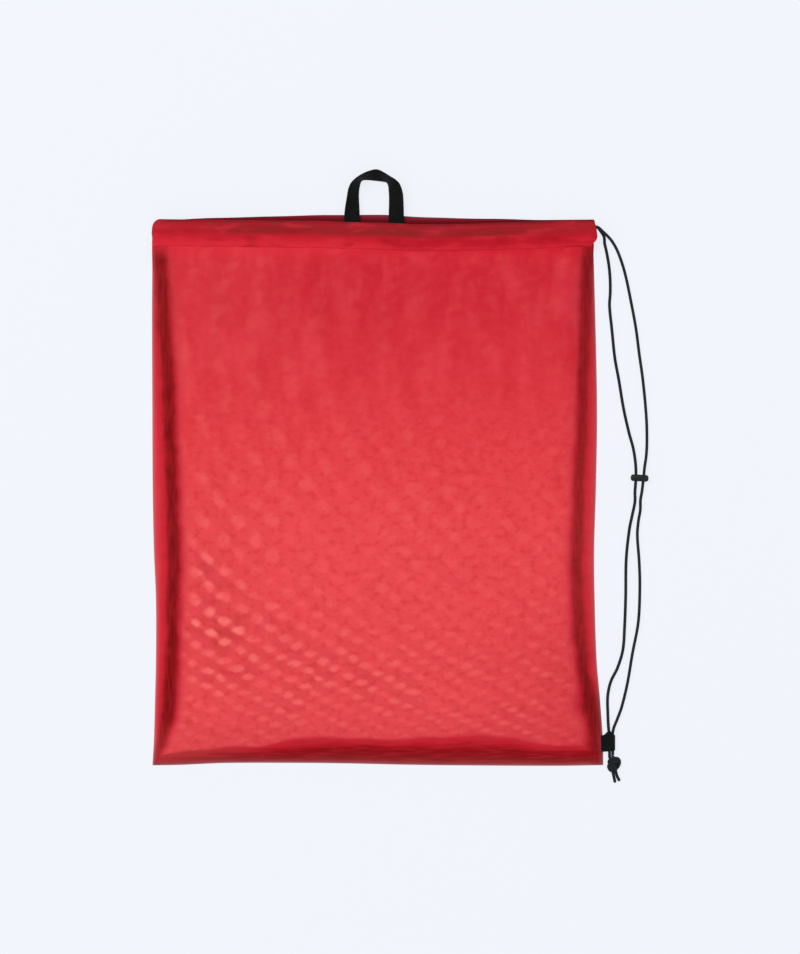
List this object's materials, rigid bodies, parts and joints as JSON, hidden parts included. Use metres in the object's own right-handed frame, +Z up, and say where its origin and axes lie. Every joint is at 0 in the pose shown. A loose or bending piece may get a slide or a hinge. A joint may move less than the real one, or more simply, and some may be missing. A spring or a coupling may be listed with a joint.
{
  "type": "mesh swim bag",
  "caption": "Flat drawstring swim bag of red mesh cloth lying empty, with a cord casing round its mouth, a webbing hanging loop, a cord slider, and a corner tab where the cord is knotted.",
  "frame": {"origin": "middle of the back panel's outer face, on the surface that the bag lies on", "axes": "+X across the bag towards the cord, +Y towards the mouth, +Z up from the surface that the bag lies on"},
  "size_m": [0.4964, 0.6135, 0.0202],
  "materials": {
    "mesh_cloth": "fine warp-knitted polyester mesh, satin",
    "casing_cloth": "the same mesh folded double",
    "seam_cloth": "overlocked mesh, matt",
    "webbing": "woven webbing, matt",
    "cord": "braided cord, matt",
    "slider_plastic": "moulded, satin"
  },
  "bodies": {
    "root": {"front_panel": "mesh_cloth", "back_panel": "mesh_cloth", "front_casing": "casing_cloth", "back_casing": "casing_cloth", "left_seam": "seam_cloth", "right_seam": "seam_cloth", "bottom_seam": "seam_cloth", "hang_loop": "webbing", "corner_tab": "webbing", "front_cord_run": "cord", "cord_turn": "cord", "back_cord_run": "cord", "front_strand": "cord", "back_strand": "cord", "cord_knot": "cord", "cord_slider": "slider_plastic"}
  },
  "joints": []
}
